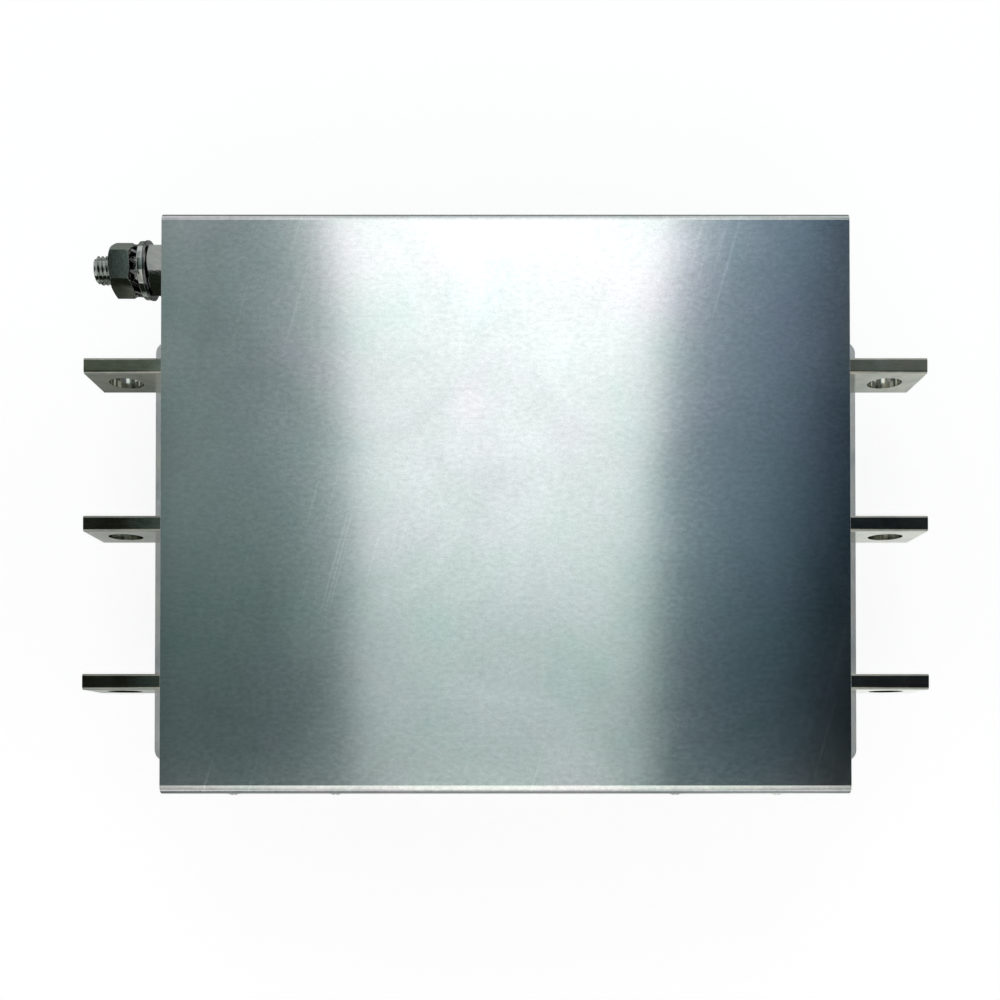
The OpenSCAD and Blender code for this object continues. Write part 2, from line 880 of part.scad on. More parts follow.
// Bracket from the stud's head to the line board, which carries the earth capacitors
module earth_bracket() {
    wall = stud_z + nut_af / 2 - board_top;
    color([0.76, 0.5, 0.32])
        difference() {
            at_end(line_end)
                translate([panel_back, stud_y, board_top])
                    along_y(bracket_w)
                        mirror([1, 0])
                            angle_section(wall, bracket_foot, bracket_t, bracket_fold_r);
            on_stud(panel_back + cut)
                cylinder(d = washer_bore, h = bracket_t + 2 * cut);
            at_end(line_end)
                translate([bracket_rivet_x, stud_y, board_top - cut])
                    cylinder(d = rivet_d + thread_gap, h = bracket_t + 2 * cut);
        }
}

module earth_bracket_rivet() {
    color([0.7, 0.7, 0.71])
        at_end(line_end)
            translate([bracket_rivet_x, stud_y, board_top + bracket_t]) {
                rivet(rivet_d, bracket_t + board_t);
                translate([0, 0, -bracket_t - board_t - rivet_head_h])
                    cylinder(d = rivet_head_d, h = rivet_head_h);
            }
}

// Hexagon bolt with its head inside the case. Its engaged length has the flank diameter,
// and its free end the full thread diameter
module earth_bolt() {
    lead_in = 1;
    shank = stud_end_x - bracket_x;
    color([0.7, 0.7, 0.68])
        on_stud(stud_end_x) {
            cylinder(d1 = stud_d - 2 * lead_in, d2 = stud_d, h = lead_in);
            translate([0, 0, lead_in])
                cylinder(d = stud_d, h = stud_free - lead_in - thread_runout);
            translate([0, 0, lead_in])
                cylinder(d = flank_d, h = shank - lead_in);
            translate([0, 0, shank])
                hex_body(nut_af, bolt_head_h, low = false);
        }
}

module earth_jam_nut() {
    color([0.7, 0.7, 0.68])
        on_stud(jam_x, jam_turn)
            hex_nut(nut_af, nut_h, flank_d + thread_gap);
}

module earth_washer_thin() {
    color([0.55, 0.55, 0.54])
        on_stud(thin_x)
            washer(thin_washer_d, washer_bore, thin_washer_t);
}

module earth_washer_thick() {
    color([0.72, 0.72, 0.7])
        on_stud(thick_x)
            washer(washer_d, washer_bore, washer_t);
}

// Toothed lock washer: a flat ring whose outer teeth are twisted out of its plane
module earth_lock_washer() {
    tooth_start = lock_body_d / 2 - 0.4;
    color([0.5, 0.5, 0.5])
        on_stud(lock_x)
            translate([0, 0, lock_h / 2]) {
                translate([0, 0, -lock_t / 2])
                    washer(lock_body_d, washer_bore, lock_t);
                for (tooth = [0:lock_teeth - 1])
                    rotate(tooth * 360 / lock_teeth)
                        rotate([lock_twist, 0, 0])
                            translate([tooth_start, -lock_tooth_w / 2, -lock_t / 2])
                                cube([lock_d / 2 - tooth_start, lock_tooth_w, lock_t]);
            }
}

module earth_nut() {
    color([0.7, 0.7, 0.68])
        on_stud(nut_x, nut_turn)
            hex_nut(nut_af, nut_h, flank_d + thread_gap);
}

// ---------------------------------------------------------------- pieces

top_cover();
base_plate();
end_panel(line_end);  // end_panel_line
end_panel(load_end);  // end_panel_load
insulator(line_end);  // insulator_line
insulator(load_end);  // insulator_load
insulator_screws();
busbar(2);  // busbar_l1
busbar(1);  // busbar_l2
busbar(0);  // busbar_l3
bar_carrier();
choke_core(1);  // choke_core_1
choke_core(2);  // choke_core_2
choke_core(3);  // choke_core_3
core_tray(1);  // core_tray_1
core_tray(2);  // core_tray_2
core_tray(3);  // core_tray_3
core_lid(1);  // core_lid_1
core_lid(2);  // core_lid_2
core_lid(3);  // core_lid_3
core_cradle();
core_clamp(1);  // core_clamp_left
core_clamp(-1);  // core_clamp_right
clamp_screws();
capacitor_board(line_end);  // capacitor_board_line
capacitor_board(load_end);  // capacitor_board_load
x_capacitor(line_end, 0);  // x_capacitor_line_1
x_capacitor(line_end, 1);  // x_capacitor_line_2
x_capacitor(line_end, 2);  // x_capacitor_line_3
x_capacitor(load_end, 0);  // x_capacitor_load_1
x_capacitor(load_end, 1);  // x_capacitor_load_2
x_capacitor(load_end, 2);  // x_capacitor_load_3
y_capacitor(0);  // y_capacitor_1
y_capacitor(1);  // y_capacitor_2
y_capacitor(2);  // y_capacitor_3
discharge_resistor(0);  // discharge_resistor_1
discharge_resistor(1);  // discharge_resistor_2
discharge_resistor(2);  // discharge_resistor_3
board_posts();
board_screws();
earth_bracket();
earth_bracket_rivet();
earth_bolt();
earth_jam_nut();
earth_washer_thin();
earth_washer_thick();
earth_lock_washer();
earth_nut();
cover_screws();
base_rivets();
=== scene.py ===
# %% [markdown]
# # A three-phase line filter with flat terminals
# A line filter keeps the electrical noise of a drive out of the mains. This one is a folded steel case, 24
# centimetres long, with three flat copper bars passing right through it and one earth stud beside them.
# The solid model is already measured and packed. This lesson loads it as a fixed frame, dresses the pieces that
# are seen with soft edges and a real thread, and gives every piece a finish made of shader nodes.

# %% Load the measured model
import math

import bmesh
import bpy
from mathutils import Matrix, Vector


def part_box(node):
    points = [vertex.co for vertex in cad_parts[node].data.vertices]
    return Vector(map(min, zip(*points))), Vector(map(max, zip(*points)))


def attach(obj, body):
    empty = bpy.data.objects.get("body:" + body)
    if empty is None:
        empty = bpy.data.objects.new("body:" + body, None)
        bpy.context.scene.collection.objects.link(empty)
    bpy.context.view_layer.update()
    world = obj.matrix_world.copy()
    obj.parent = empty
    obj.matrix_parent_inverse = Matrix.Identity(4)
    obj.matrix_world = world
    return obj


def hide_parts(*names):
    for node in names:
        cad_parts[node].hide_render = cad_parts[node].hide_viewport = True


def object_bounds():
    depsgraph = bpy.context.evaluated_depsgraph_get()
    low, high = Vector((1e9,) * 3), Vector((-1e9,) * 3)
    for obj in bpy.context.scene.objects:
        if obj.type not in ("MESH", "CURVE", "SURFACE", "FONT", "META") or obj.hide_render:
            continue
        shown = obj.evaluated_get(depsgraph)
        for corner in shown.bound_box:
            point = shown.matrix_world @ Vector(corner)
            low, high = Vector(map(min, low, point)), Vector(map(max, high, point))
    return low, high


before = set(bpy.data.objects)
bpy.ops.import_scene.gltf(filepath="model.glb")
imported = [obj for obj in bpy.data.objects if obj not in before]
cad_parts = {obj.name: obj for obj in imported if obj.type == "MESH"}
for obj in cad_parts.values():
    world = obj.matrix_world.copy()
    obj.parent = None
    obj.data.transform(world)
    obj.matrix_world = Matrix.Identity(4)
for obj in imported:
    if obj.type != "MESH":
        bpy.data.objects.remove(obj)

cad_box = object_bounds()
print("pieces in the frame:", len(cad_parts))
print("size in mm:", [round(1000 * (high - low), 2) for low, high in zip(*cad_box)])

# %% [markdown]
# ## The camera
# The camera looks straight down on the lid. It is tilted by less than a degree, so the lid's sides stay parallel;
# the lens is shifted instead, as on a technical camera, which lets the near faces of the bars and of the nut show
# below their upper edges.

# %% Camera
scene = bpy.context.scene
scene.view_settings.view_transform = "Standard"

camera = bpy.data.objects.new("camera", bpy.data.cameras.new("camera"))
scene.collection.objects.link(camera)
tilt = math.radians(0.75)
camera.location = (0.0, -0.0911, 0.5214)
camera.rotation_euler = (tilt, 0.0, 0.0)
camera.data.lens = 43.76
camera.data.sensor_width = 36.0
camera.data.shift_x = -0.0055
camera.data.shift_y = 0.248
scene.camera = camera
print("camera height above the floor in mm:", round(1000 * camera.location.z))

# %% [markdown]
# ## Small helpers for shader nodes
# Every finish below is a little network of nodes. Adding a node, setting its sockets and linking them takes three
# lines each time, so a few helpers do it. A socket that is given another node's output is linked, and one that
# is given a number or a colour is set. A Mix node for colours keeps its two colours in sockets 6 and 7 and gives
# the result in output 2; the lower numbers belong to plain numbers and vectors.

# %% Helpers for nodes
def add_node(tree, kind, sockets=None, **settings):
    node = tree.nodes.new("ShaderNode" + kind)
    for name, value in settings.items():
        setattr(node, name, value)
    for name, value in (sockets or {}).items():
        if isinstance(value, bpy.types.NodeSocket):
            tree.links.new(value, node.inputs[name])
        else:
            node.inputs[name].default_value = value
    return node


def calculate(tree, operation, first, second=0.5, clamp=False):
    return add_node(tree, "Math", {0: first, 1: second}, operation=operation, use_clamp=clamp).outputs[0]


def mix_colours(tree, share, first, second, way="MIX"):
    return add_node(tree, "Mix", {0: share, 6: first, 7: second}, data_type="RGBA", blend_type=way).outputs[2]


def rescale(tree, value, low, high, new_low=0.0, new_high=1.0):
    return add_node(tree, "MapRange", {"Value": value, "From Min": low, "From Max": high,
                                       "To Min": new_low, "To Max": new_high}, clamp=True).outputs[0]


def ramp(tree, value, stops):
    node = add_node(tree, "ValToRGB", {"Fac": value})
    points = node.color_ramp.elements
    while len(points) < len(stops):
        points.new(0.5)
    for point, (place, colour) in zip(points, stops):
        point.position = place
        point.color = (*colour, 1.0)
    return node.outputs["Color"]


print("helpers ready")

# %% [markdown]
# ## The room
# The filter lies on a white table in a white room. The world lights it softly from all sides with a light grey.
# The camera is shown a pure white in its place, and so is a ray that has passed through a clear piece, so the
# background is clean.

# %% White world
def seen_directly(tree):
    paths = add_node(tree, "LightPath").outputs
    return calculate(tree, "MAXIMUM", paths["Is Camera Ray"], paths["Is Transmission Ray"])


world = bpy.data.worlds.new("white_room")
scene.world = world
world.use_nodes = True
room = world.node_tree
room.nodes.clear()
wall = add_node(room, "Background", {"Color": (0.86, 0.87, 0.88, 1.0), "Strength": 0.9})
white = add_node(room, "Background", {"Color": (1.0, 1.0, 1.0, 1.0), "Strength": 1.0})
either = add_node(room, "MixShader", {0: seen_directly(room), 1: wall.outputs[0], 2: white.outputs[0]})
add_node(room, "OutputWorld", {"Surface": either.outputs[0]})
print("world:", world.name)

# %% [markdown]
# The table and the cards that hang over it are plain shapes that belong to the stage, not to the filter. One
# helper puts any shape into the scene, and a second one makes a flat rectangle.

# %% Helpers for the stage
def put_in_scene(name, shape):
    mesh = bpy.data.meshes.new(name)
    shape.to_mesh(mesh)
    shape.free()
    piece = bpy.data.objects.new(name, mesh)
    scene.collection.objects.link(piece)
    return piece


def flat_card(name, x_low, x_high, y_low, y_high, z):
    shape = bmesh.new()
    bmesh.ops.create_grid(shape, x_segments=1, y_segments=1, size=0.5)
    bmesh.ops.scale(shape, vec=(x_high - x_low, y_high - y_low, 1.0), verts=shape.verts)
    bmesh.ops.translate(shape, vec=((x_low + x_high) / 2, (y_low + y_high) / 2, z), verts=shape.verts)
    return put_in_scene(name, shape)


print("cards can be made")

# %% [markdown]
# The table is three surfaces in one, chosen by the kind of ray that asks. The camera sees a plain white with a
# share of the real, lit surface in it, so that the case still stands in its own soft shadow. Light that bounces
# meets an ordinary white table. Mirrors meet a dimmer one with painted light and shade on it: it is painted lighter
# close to the filter and fades with the distance, it has a painted shade beside the stud and a darker painted shade
# in the near corner of that end, and beside the other end it has a painted glow, though no lamp is there. The
# terminals' near faces mirror hardly anything else, so this third surface, with its painted light and shade, sets
# how bright each of them looks.

# %% White table
table_reach = 6.0
table = flat_card("table", -table_reach, table_reach, -table_reach, table_reach, cad_box[0].z)
table_white = bpy.data.materials.new("table_white")
table_white.use_nodes = True
tree = table_white.node_tree
tree.nodes.clear()
place = add_node(tree, "TexCoord").outputs["Object"]
spot = add_node(tree, "SeparateXYZ", {"Vector": place}).outputs
away = add_node(tree, "VectorMath", {0: place}, operation="LENGTH").outputs["Value"]

# Painted light: mirrors see the table lighter within 0.18 m of the filter, fading to a dim grey beyond 0.30 m.
painted_light_near_filter = mix_colours(tree, rescale(tree, away, 0.18, 0.30), (0.84, 0.85, 0.84, 1.0), (0.38, 0.39, 0.38, 1.0))
# Painted shade: a darker patch beside the stud and a near-black one in the near corner of that end, seen only in
# mirrors.
painted_shade_beside_stud = calculate(tree, "MULTIPLY", rescale(tree, spot["X"], -0.08, -0.13),
                        rescale(tree, spot["Y"], 0.0, 0.05))
painted_shade_near_corner = calculate(tree, "MULTIPLY", rescale(tree, spot["X"], -0.17, -0.20),
                        rescale(tree, spot["Y"], -0.09, -0.13))
shaded = mix_colours(tree, painted_shade_beside_stud, painted_light_near_filter, (0.34, 0.36, 0.33, 1.0))
shaded = mix_colours(tree, painted_shade_near_corner, shaded, (0.08, 0.09, 0.07, 1.0))
dim = add_node(tree, "BsdfDiffuse", {"Color": shaded})
# Painted glow: beside the end away from the stud the table itself glows a little, though no lamp is there; only
# mirrors see it.
painted_glow_mask = calculate(tree, "MULTIPLY", rescale(tree, spot["X"], 0.08, 0.13, 0.0, 0.5),
                      rescale(tree, spot["Y"], 0.06, -0.03, 0.25, 1.0))
strength = calculate(tree, "MULTIPLY", painted_glow_mask, rescale(tree, away, 0.22, 0.32, 1.0, 0.0))
painted_glow = add_node(tree, "Emission", {"Color": (0.98, 1.0, 0.98, 1.0), "Strength": strength})
mirrored = add_node(tree, "AddShader", {0: dim.outputs[0], 1: painted_glow.outputs[0]})

lit = add_node(tree, "BsdfDiffuse", {"Color": (0.86, 0.86, 0.86, 1.0)})
half_lit = add_node(tree, "BsdfDiffuse", {"Color": (0.36, 0.36, 0.36, 1.0)})
clean = add_node(tree, "Emission", {"Color": (0.77, 0.77, 0.77, 1.0), "Strength": 1.0})
paper = add_node(tree, "AddShader", {0: clean.outputs[0], 1: half_lit.outputs[0]})
glossy = add_node(tree, "LightPath").outputs["Is Glossy Ray"]
unseen = add_node(tree, "MixShader", {0: glossy, 1: lit.outputs[0], 2: mirrored.outputs[0]})
table_mix = add_node(tree, "MixShader", {0: seen_directly(tree), 1: unseen.outputs[0], 2: paper.outputs[0]})
add_node(tree, "OutputMaterial", {"Surface": table_mix.outputs[0]})
table.data.materials.append(table_white)
print("table at z =", round(cad_box[0].z, 4))

# %% [markdown]
# ## The overhead cards
# Rolled steel is a blurred mirror: the lid shows whatever hangs above it. Here one long softbox hangs over the
# case, so a pale band runs down the middle of the lid, with a grey ceiling on one side and a blue-grey one on the
# other. That patterned card gets one colour ramp across it, stretched a little towards the near end, so
# that the band's edges lean together there. A second ramp makes the glow fall off along the card, and a Gamma node
# raises that ramp to a power that grows towards both sides, where the light dies away faster.
# All lengths are in metres: the cards hang one metre above the table, and the outer ones reach 0.95 metres out.

# %% The patterned softbox
hang = 1.0
left, right, near, far = -0.40, 0.39, -0.17, 0.62
outer = 0.95


def glowing(card):
    card.visible_camera = False
    material = bpy.data.materials.new(card.name + "_glow")
    material.use_nodes = True
    material.node_tree.nodes.clear()
    card.data.materials.append(material)
    return material.node_tree


def shine(tree, colour, strength=1.0):
    light = add_node(tree, "Emission", {"Color": colour, "Strength": strength})
    add_node(tree, "OutputMaterial", {"Surface": light.outputs[0]})


tree = glowing(flat_card("softbox", left, right, near, far, hang))
place = add_node(tree, "SeparateXYZ", {0: add_node(tree, "TexCoord").outputs["Object"]}).outputs
inner = rescale(tree, calculate(tree, "ABSOLUTE", place["X"]), 0.20, 0.36, 1.0, 0.0)
pinch = calculate(tree, "MULTIPLY", inner, rescale(tree, place["Y"], 0.18, 0.50, 0.19, 0.0))
pinched = calculate(tree, "MULTIPLY", place["X"], calculate(tree, "ADD", pinch, 1.0))
across = ramp(tree, rescale(tree, pinched, -0.6, 0.6), [
    (0.165, (0.20, 0.24, 0.23)), (0.190, (0.36, 0.44, 0.43)), (0.230, (0.28, 0.35, 0.35)),
    (0.275, (0.33, 0.40, 0.41)), (0.314, (0.48, 0.55, 0.56)), (0.336, (0.74, 0.80, 0.80)),
    (0.346, (1.52, 1.54, 1.53)), (0.500, (1.70, 1.70, 1.70)), (0.646, (1.64, 1.66, 1.64)),
    (0.658, (0.95, 1.02, 1.07)), (0.672, (0.47, 0.55, 0.61)), (0.702, (0.33, 0.41, 0.50)),
    (0.765, (0.21, 0.29, 0.37)), (0.798, (0.09, 0.13, 0.20)), (0.820, (0.02, 0.035, 0.07))])
along = ramp(tree, rescale(tree, place["Y"], -0.2, 0.7), [
    (0.0, (0.30, 0.35, 0.34)), (0.187, (0.36, 0.42, 0.41)), (0.309, (0.46, 0.54, 0.52)),
    (0.431, (0.66, 0.72, 0.71)), (0.674, (0.85, 0.87, 0.87)), (0.766, (0.99, 1.0, 1.0)),
    (1.0, (1.04, 1.04, 1.04))])
steeper = calculate(tree, "ADD", rescale(tree, place["X"], 0.10, 0.30, 1.0, 1.45),
                    rescale(tree, place["X"], 0.31, 0.36, 0.0, 1.6))
steeper = calculate(tree, "ADD", steeper, rescale(tree, place["X"], -0.20, -0.36, 0.0, 0.16))
falling = add_node(tree, "Gamma", {"Color": along, "Gamma": steeper}).outputs[0]
shine(tree, mix_colours(tree, 1.0, across, falling, "MULTIPLY"))
print("softbox hangs", round(1000 * (hang - cad_box[1].z)), "mm above the lid")

# %% [markdown]
# Two white panels carry on in front of the softbox and behind it, and put the light line on the lid's folds. They
# fade towards their ends, as a panel lit from its middle does.

# %% Front and back panels
for name, y_low, y_high, colour in (("front_panel", -1.90, near, (0.98, 1.0, 0.93)),
                                    ("back_panel", far, 1.70, (0.96, 1.0, 1.0))):
    tree = glowing(flat_card(name, -outer, outer, y_low, y_high, hang))
    place = add_node(tree, "SeparateXYZ", {0: add_node(tree, "TexCoord").outputs["Object"]}).outputs
    sideways = calculate(tree, "ABSOLUTE", place["X"])
    shine(tree, (*colour, 1.0), rescale(tree, sideways, 0.15, 0.48, 1.32, 0.46))
    print(name, "reaches from y =", y_low, "to", y_high)

# %% [markdown]
# A dark curtain hangs on each side of the softbox, with a lighter wall behind it. The flat terminals, the washers
# and the nuts mirror them, which makes their top faces nearly black and lets their edges stand out. A flag, a
# small black cloth, hangs a little lower over each end of the front panel: it darkens the terminals' rounded near
# edges.

# %% Curtains and flags
cloth = (0.012, 0.014, 0.010)
wall_y, flag_x, flag_y, flag_drop = 0.325, 0.43, -0.50, 0.01
for name, x_low, x_high, y_low, y_high, drop, colour in (
        ("left_curtain", -outer, left, near, wall_y, 0.0, cloth),
        ("left_wall", -outer, left, wall_y, far, 0.0, (0.12, 0.14, 0.11)),
        ("left_flag", -outer, -flag_x, flag_y, near, flag_drop, cloth),
        ("right_curtain", right, outer, near, wall_y, 0.0, (0.016, 0.020, 0.024)),
        ("right_wall", right, outer, wall_y, far, 0.0, (0.16, 0.18, 0.17)),
        ("right_flag", flag_x, outer, flag_y, near, flag_drop, cloth)):
    shine(glowing(flat_card(name, x_low, x_high, y_low, y_high, hang - drop)), (*colour, 1.0))
    print(name, "glows at", colour[1])

# %% [markdown]
# Small shiny parts mirror a wide piece of the room, so one more dark board comes close to them: a narrow black
# board that stands upright between the stud and the nearest terminal, where nothing stands in the room. It is a
# painted dark reflection in the undersides of the nuts. Only mirrors meet it, so it throws no shadow.

# %% Dark board beside the stud, a painted reflection
board_low, board_high = Vector((-0.22, 0.0545, 0.08)), Vector((-0.124, 0.0555, 0.10))
shape = bmesh.new()
bmesh.ops.create_cube(shape, size=1.0)
bmesh.ops.scale(shape, vec=board_high - board_low, verts=shape.verts)
bmesh.ops.translate(shape, vec=(board_low + board_high) / 2, verts=shape.verts)
# Painted reflection: a near-black board that only mirrors see, which darkens the nuts' undersides.
dark_reflection_board = put_in_scene("dark_reflection_board", shape)
dark_reflection_board.visible_diffuse = False
dark_reflection_board.visible_shadow = False
shine(glowing(dark_reflection_board), (0.012, 0.016, 0.010, 1.0))
print(dark_reflection_board.name, "is seen by mirrors only")

# %% [markdown]
# ## Shared effects
# The metals of this filter have four things in common, each made once as a node group and then placed in every
# finish with its own numbers. A rolled sheet has a fine grain, drawn out along the rolling direction. Handling
# leaves cloudy patches, a few specks and long hairline scratches. And no metal is one even colour: it leans a
# little warm here and a little cool there.

# %% A node group to hold one effect
def effect(name, inputs, outputs):
    group = bpy.data.node_groups.new(name, "ShaderNodeTree")
    for socket, kind, value in inputs:
        made = group.interface.new_socket(socket, in_out="INPUT", socket_type="NodeSocket" + kind)
        if value is not None:
            made.default_value = value
    for socket, kind in outputs:
        group.interface.new_socket(socket, in_out="OUTPUT", socket_type="NodeSocket" + kind)
    return group, group.nodes.new("NodeGroupInput"), group.nodes.new("NodeGroupOutput")


def use_effect(tree, group, sockets):
    return add_node(tree, "Group", sockets, node_tree=group).outputs


print("effects can be built")

# %% [markdown]
# Rolling grain is noise drawn out in one direction. The group scales its coordinates before they reach a coarse
# noise, which makes the streaks. A finer noise with plain coordinates makes the grit between them, and one number
# says how much of each is taken.

# %% Rolling grain
rolling_grain, given, result = effect("rolling_grain",
                                      [("Place", "Vector", None), ("Stretch", "Vector", (1.0, 1.0, 1.0)),
                                       ("Scale", "Float", 900.0), ("Grit", "Float", 0.5)],
                                      [("Grain", "Float")])
drawn = add_node(rolling_grain, "VectorMath", {0: given.outputs["Place"], 1: given.outputs["Stretch"]},
                 operation="MULTIPLY").outputs[0]
streaks = add_node(rolling_grain, "TexNoise", {"Vector": drawn, "Scale": given.outputs["Scale"], "Detail": 3.0,
                                               "Roughness": 0.6}).outputs["Fac"]
finer = calculate(rolling_grain, "MULTIPLY", given.outputs["Scale"], 2.7)
grit = add_node(rolling_grain, "TexNoise", {"Vector": given.outputs["Place"], "Scale": finer,
                                            "Detail": 2.0}).outputs["Fac"]
both = add_node(rolling_grain, "Mix", {0: given.outputs["Grit"], 2: streaks, 3: grit}).outputs[0]
rolling_grain.links.new(rescale(rolling_grain, both, 0.25, 0.75), result.inputs["Grain"])
print("effect:", rolling_grain.name)

# %% [markdown]
# Handling marks are two masks. The clouds are a large soft noise bent by a second one, so that they look wiped.
# The specks are cells of a Voronoi texture: only the few cells whose random value is high hold a speck.

# %% Handling marks
handling_marks, given, result = effect("handling_marks",
                                       [("Place", "Vector", None), ("Cloud Scale", "Float", 18.0),
                                        ("Speck Scale", "Float", 260.0)],
                                       [("Clouds", "Float"), ("Specks", "Float")])
wiped = add_node(handling_marks, "TexNoise", {"Vector": given.outputs["Place"],
                                              "Scale": given.outputs["Cloud Scale"], "Detail": 5.0,
                                              "Roughness": 0.62, "Distortion": 0.9}).outputs["Fac"]
handling_marks.links.new(rescale(handling_marks, wiped, 0.28, 0.72), result.inputs["Clouds"])
cells = add_node(handling_marks, "TexVoronoi", {"Vector": given.outputs["Place"],
                                                "Scale": given.outputs["Speck Scale"]})
near = rescale(handling_marks, cells.outputs["Distance"], 0.22, 0.06)
chance = add_node(handling_marks, "SeparateColor", {0: cells.outputs["Color"]}).outputs[0]
chosen = rescale(handling_marks, chance, 0.955, 0.965)
handling_marks.links.new(calculate(handling_marks, "MULTIPLY", near, chosen), result.inputs["Specks"])
print("effect:", handling_marks.name)

# %% [markdown]
# A hairline scratch is long in one direction and a fraction of a millimetre wide. The group turns the coordinates
# to the scratch's direction, stretches them, and keeps only the crests of a noise. A coarse mask breaks the
# lines, so they start and end.

# %% Hairline scratches
hairline_scratches, given, result = effect("hairline_scratches",
                                           [("Place", "Vector", None), ("Turn", "Float", 0.5),
                                            ("Scale", "Float", 60.0)],
                                           [("Scratches", "Float")])
turned = add_node(hairline_scratches, "VectorRotate", {"Vector": given.outputs["Place"],
                                                       "Angle": given.outputs["Turn"]},
                  rotation_type="Z_AXIS").outputs[0]
pulled = add_node(hairline_scratches, "VectorMath", {0: turned, 1: (0.16, 9.0, 1.0)},
                  operation="MULTIPLY").outputs[0]
lines = add_node(hairline_scratches, "TexNoise", {"Vector": pulled, "Scale": given.outputs["Scale"],
                                                  "Detail": 1.0}).outputs["Fac"]
crests = rescale(hairline_scratches, lines, 0.62, 0.72)
patches = add_node(hairline_scratches, "TexNoise", {"Vector": given.outputs["Place"], "Scale": 14.0,
                                                    "Detail": 2.0}).outputs["Fac"]
broken = rescale(hairline_scratches, patches, 0.48, 0.60)
hairline_scratches.links.new(calculate(hairline_scratches, "MULTIPLY", crests, broken),
                             result.inputs["Scratches"])
print("effect:", hairline_scratches.name)

# %% [markdown]
# The colour drift mixes the finish's own colour with a cooler and a warmer neighbour, led by one slow noise.

# %% Colour drift
colour_drift, given, result = effect("colour_drift",
                                     [("Place", "Vector", None), ("Colour", "Color", (0.6, 0.6, 0.6, 1.0)),
                                      ("Cool", "Color", (0.6, 0.6, 0.6, 1.0)),
                                      ("Warm", "Color", (0.6, 0.6, 0.6, 1.0)), ("Scale", "Float", 22.0)],
                                     [("Colour", "Color")])
slow = add_node(colour_drift, "TexNoise", {"Vector": given.outputs["Place"], "Scale": given.outputs["Scale"],
                                           "Detail": 3.0, "Roughness": 0.55}).outputs["Fac"]
cooler = mix_colours(colour_drift, rescale(colour_drift, slow, 0.48, 0.30), given.outputs["Colour"],
                     given.outputs["Cool"])
warmer = mix_colours(colour_drift, rescale(colour_drift, slow, 0.52, 0.70), cooler, given.outputs["Warm"])
colour_drift.links.new(warmer, result.inputs["Colour"])
print("effect:", colour_drift.name)

# %% [markdown]
# ## Metal finishes
# A metal finish is a fully metallic surface. Its height comes from the grain and the scratches, and its roughness
# from the grain, the clouds and the scratches. Its colour drifts, the clouds and the grain lighten or darken it a
# little, and specks and scratches are a little brighter than the rest. Numbers that are the same all over a piece
# are set on the shader's own sockets.

# %% A metal finish
def metal(name, colour, cool, warm, rough, swing, stretch=(1.0, 1.0, 1.0), grain=900.0, grit=0.5, mottle=0.06,
          bump=0.1, depth=0.00004, clouds=18.0, cloud_strength=0.12, specks=260.0, speck_strength=0.3, scratch=0.35,
          scratch_tone=0.04, scratch_scale=60.0, turn=0.5, drift=22.0):
    finish = bpy.data.materials.new(name)
    finish.use_nodes = True
    tree = finish.node_tree
    surface = tree.nodes["Principled BSDF"]
    place = add_node(tree, "TexCoord").outputs["Object"]
    rolled = use_effect(tree, rolling_grain, {"Place": place, "Stretch": stretch, "Scale": grain,
                                              "Grit": grit})["Grain"]
    marks = use_effect(tree, handling_marks, {"Place": place, "Cloud Scale": clouds, "Speck Scale": specks})
    hairs = use_effect(tree, hairline_scratches, {"Place": place, "Turn": turn,
                                                  "Scale": scratch_scale})["Scratches"]
    tint = use_effect(tree, colour_drift, {"Place": place, "Colour": (*colour, 1.0), "Cool": (*cool, 1.0),
                                           "Warm": (*warm, 1.0), "Scale": drift})["Colour"]
    shade = rescale(tree, marks["Clouds"], 0.0, 1.0, 1.0 - cloud_strength, 1.0 + cloud_strength)
    shade = calculate(tree, "MULTIPLY", shade, rescale(tree, rolled, 0.0, 1.0, 1.0 - mottle, 1.0 + mottle))
    shade = calculate(tree, "MULTIPLY", shade, rescale(tree, hairs, 0.0, 1.0, 1.0, 1.0 + scratch_tone))
    tint = mix_colours(tree, 1.0, tint, shade, "MULTIPLY")
    tint = mix_colours(tree, calculate(tree, "MULTIPLY", marks["Specks"], speck_strength), tint,
                       (0.9, 0.92, 0.9, 1.0))
    tree.links.new(tint, surface.inputs["Base Color"])
    gloss = rescale(tree, rolled, 0.0, 1.0, rough - swing, rough + swing)
    gloss = calculate(tree, "ADD", gloss, rescale(tree, marks["Clouds"], 0.0, 1.0, -swing, swing))
    gloss = calculate(tree, "ADD", gloss, calculate(tree, "MULTIPLY", hairs, scratch), clamp=True)
    tree.links.new(gloss, surface.inputs["Roughness"])
    relief = calculate(tree, "SUBTRACT", rolled, calculate(tree, "MULTIPLY", hairs, 2.0 * scratch))
    bumps = add_node(tree, "Bump", {"Strength": bump, "Distance": depth, "Height": relief})
    tree.links.new(bumps.outputs["Normal"], surface.inputs["Normal"])
    surface.inputs["Metallic"].default_value = 1.0
    return finish


print("metal finishes can be made")

# %% [markdown]
# The lid is plain rolled sheet, neither polished nor painted: a blurred mirror with a tight grain along its length,
# wiped patches, and tints that wander between a greenish and a faintly violet grey. The chassis is the same kind
# of sheet with a duller, cooler zinc coat.

